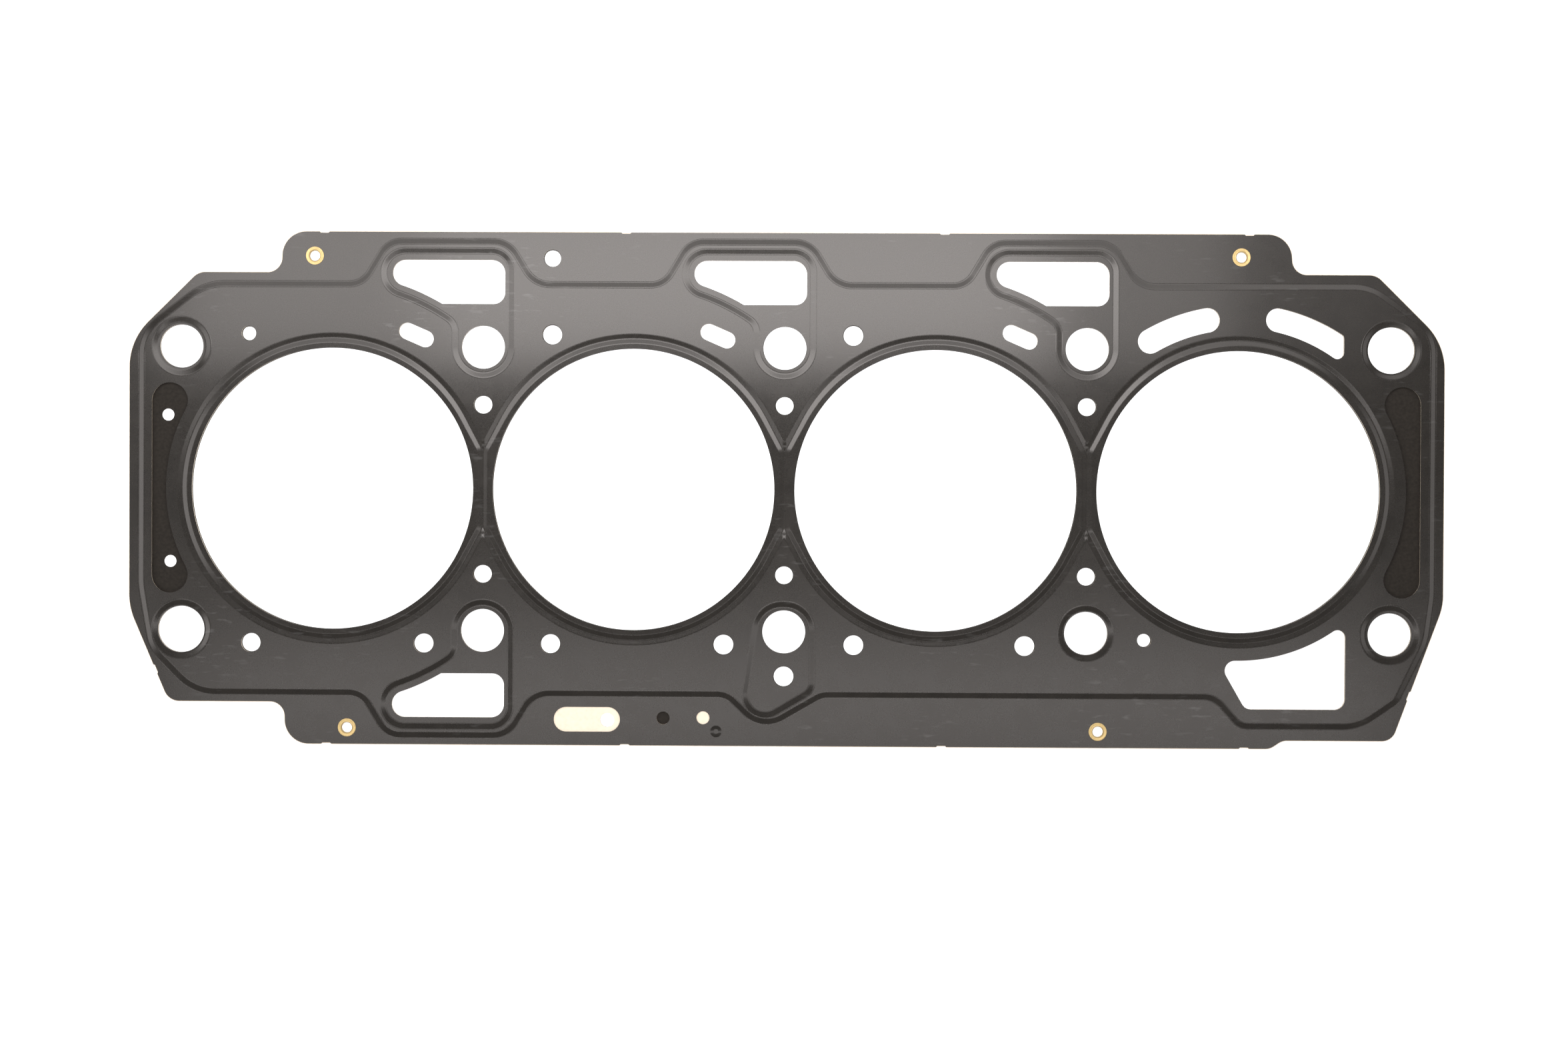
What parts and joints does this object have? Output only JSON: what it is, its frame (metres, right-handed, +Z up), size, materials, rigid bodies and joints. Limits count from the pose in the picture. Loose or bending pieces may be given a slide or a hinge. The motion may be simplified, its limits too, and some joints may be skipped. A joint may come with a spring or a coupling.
{
  "type": "cylinder head gasket",
  "caption": "Multi-layer steel cylinder head gasket for an inline car engine, with dark coated pressed sheets on a pale carrier, held by brass eyelets",
  "frame": {"origin": "middle of the row of cylinder bores, on the plane of the lower sealing face", "axes": "X along the row of bores, Y across them towards the side with three windows, Z up out of the upper sealing face"},
  "size_m": [0.3922, 0.1534, 0.0014],
  "materials": {
    "coated_steel": "thin dark grey elastomer coating over spring steel, satin",
    "carrier_steel": "cream coated flat sheet steel, satin",
    "eyelet_brass": "rolled bright brass"
  },
  "bodies": {
    "root": {"top_layer": "coated_steel", "carrier_layer": "carrier_steel", "bottom_layer": "coated_steel", "eyelet_rear_left": "eyelet_brass", "eyelet_rear_right": "eyelet_brass", "eyelet_front_left": "eyelet_brass", "eyelet_front_right": "eyelet_brass"}
  },
  "joints": []
}
